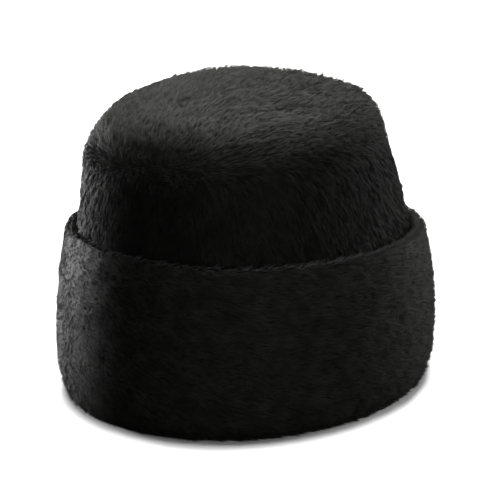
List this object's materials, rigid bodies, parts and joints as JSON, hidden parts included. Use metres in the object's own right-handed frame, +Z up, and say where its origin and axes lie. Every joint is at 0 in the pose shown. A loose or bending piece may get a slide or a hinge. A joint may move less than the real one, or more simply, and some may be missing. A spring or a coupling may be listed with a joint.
{
  "type": "faux fur hat",
  "caption": "Black faux fur winter hat: a tapered crown with a soft oval tip and a deep turned-up cuff, worn pulled down over the head.",
  "frame": {"origin": "on the surface that the hat stands on, under the middle of its widest outline", "axes": "+Z up out of the tip, the front of the hat towards -Y, and its width along X"},
  "size_m": [0.2043, 0.2352, 0.1807],
  "materials": {
    "fur": "short dense black pile on a knitted backing, combed, matt with a soft grey sheen where light rakes it"
  },
  "bodies": {
    "root": {"crown_tip": "fur", "crown_side": "fur", "cuff": "fur"}
  },
  "joints": []
}
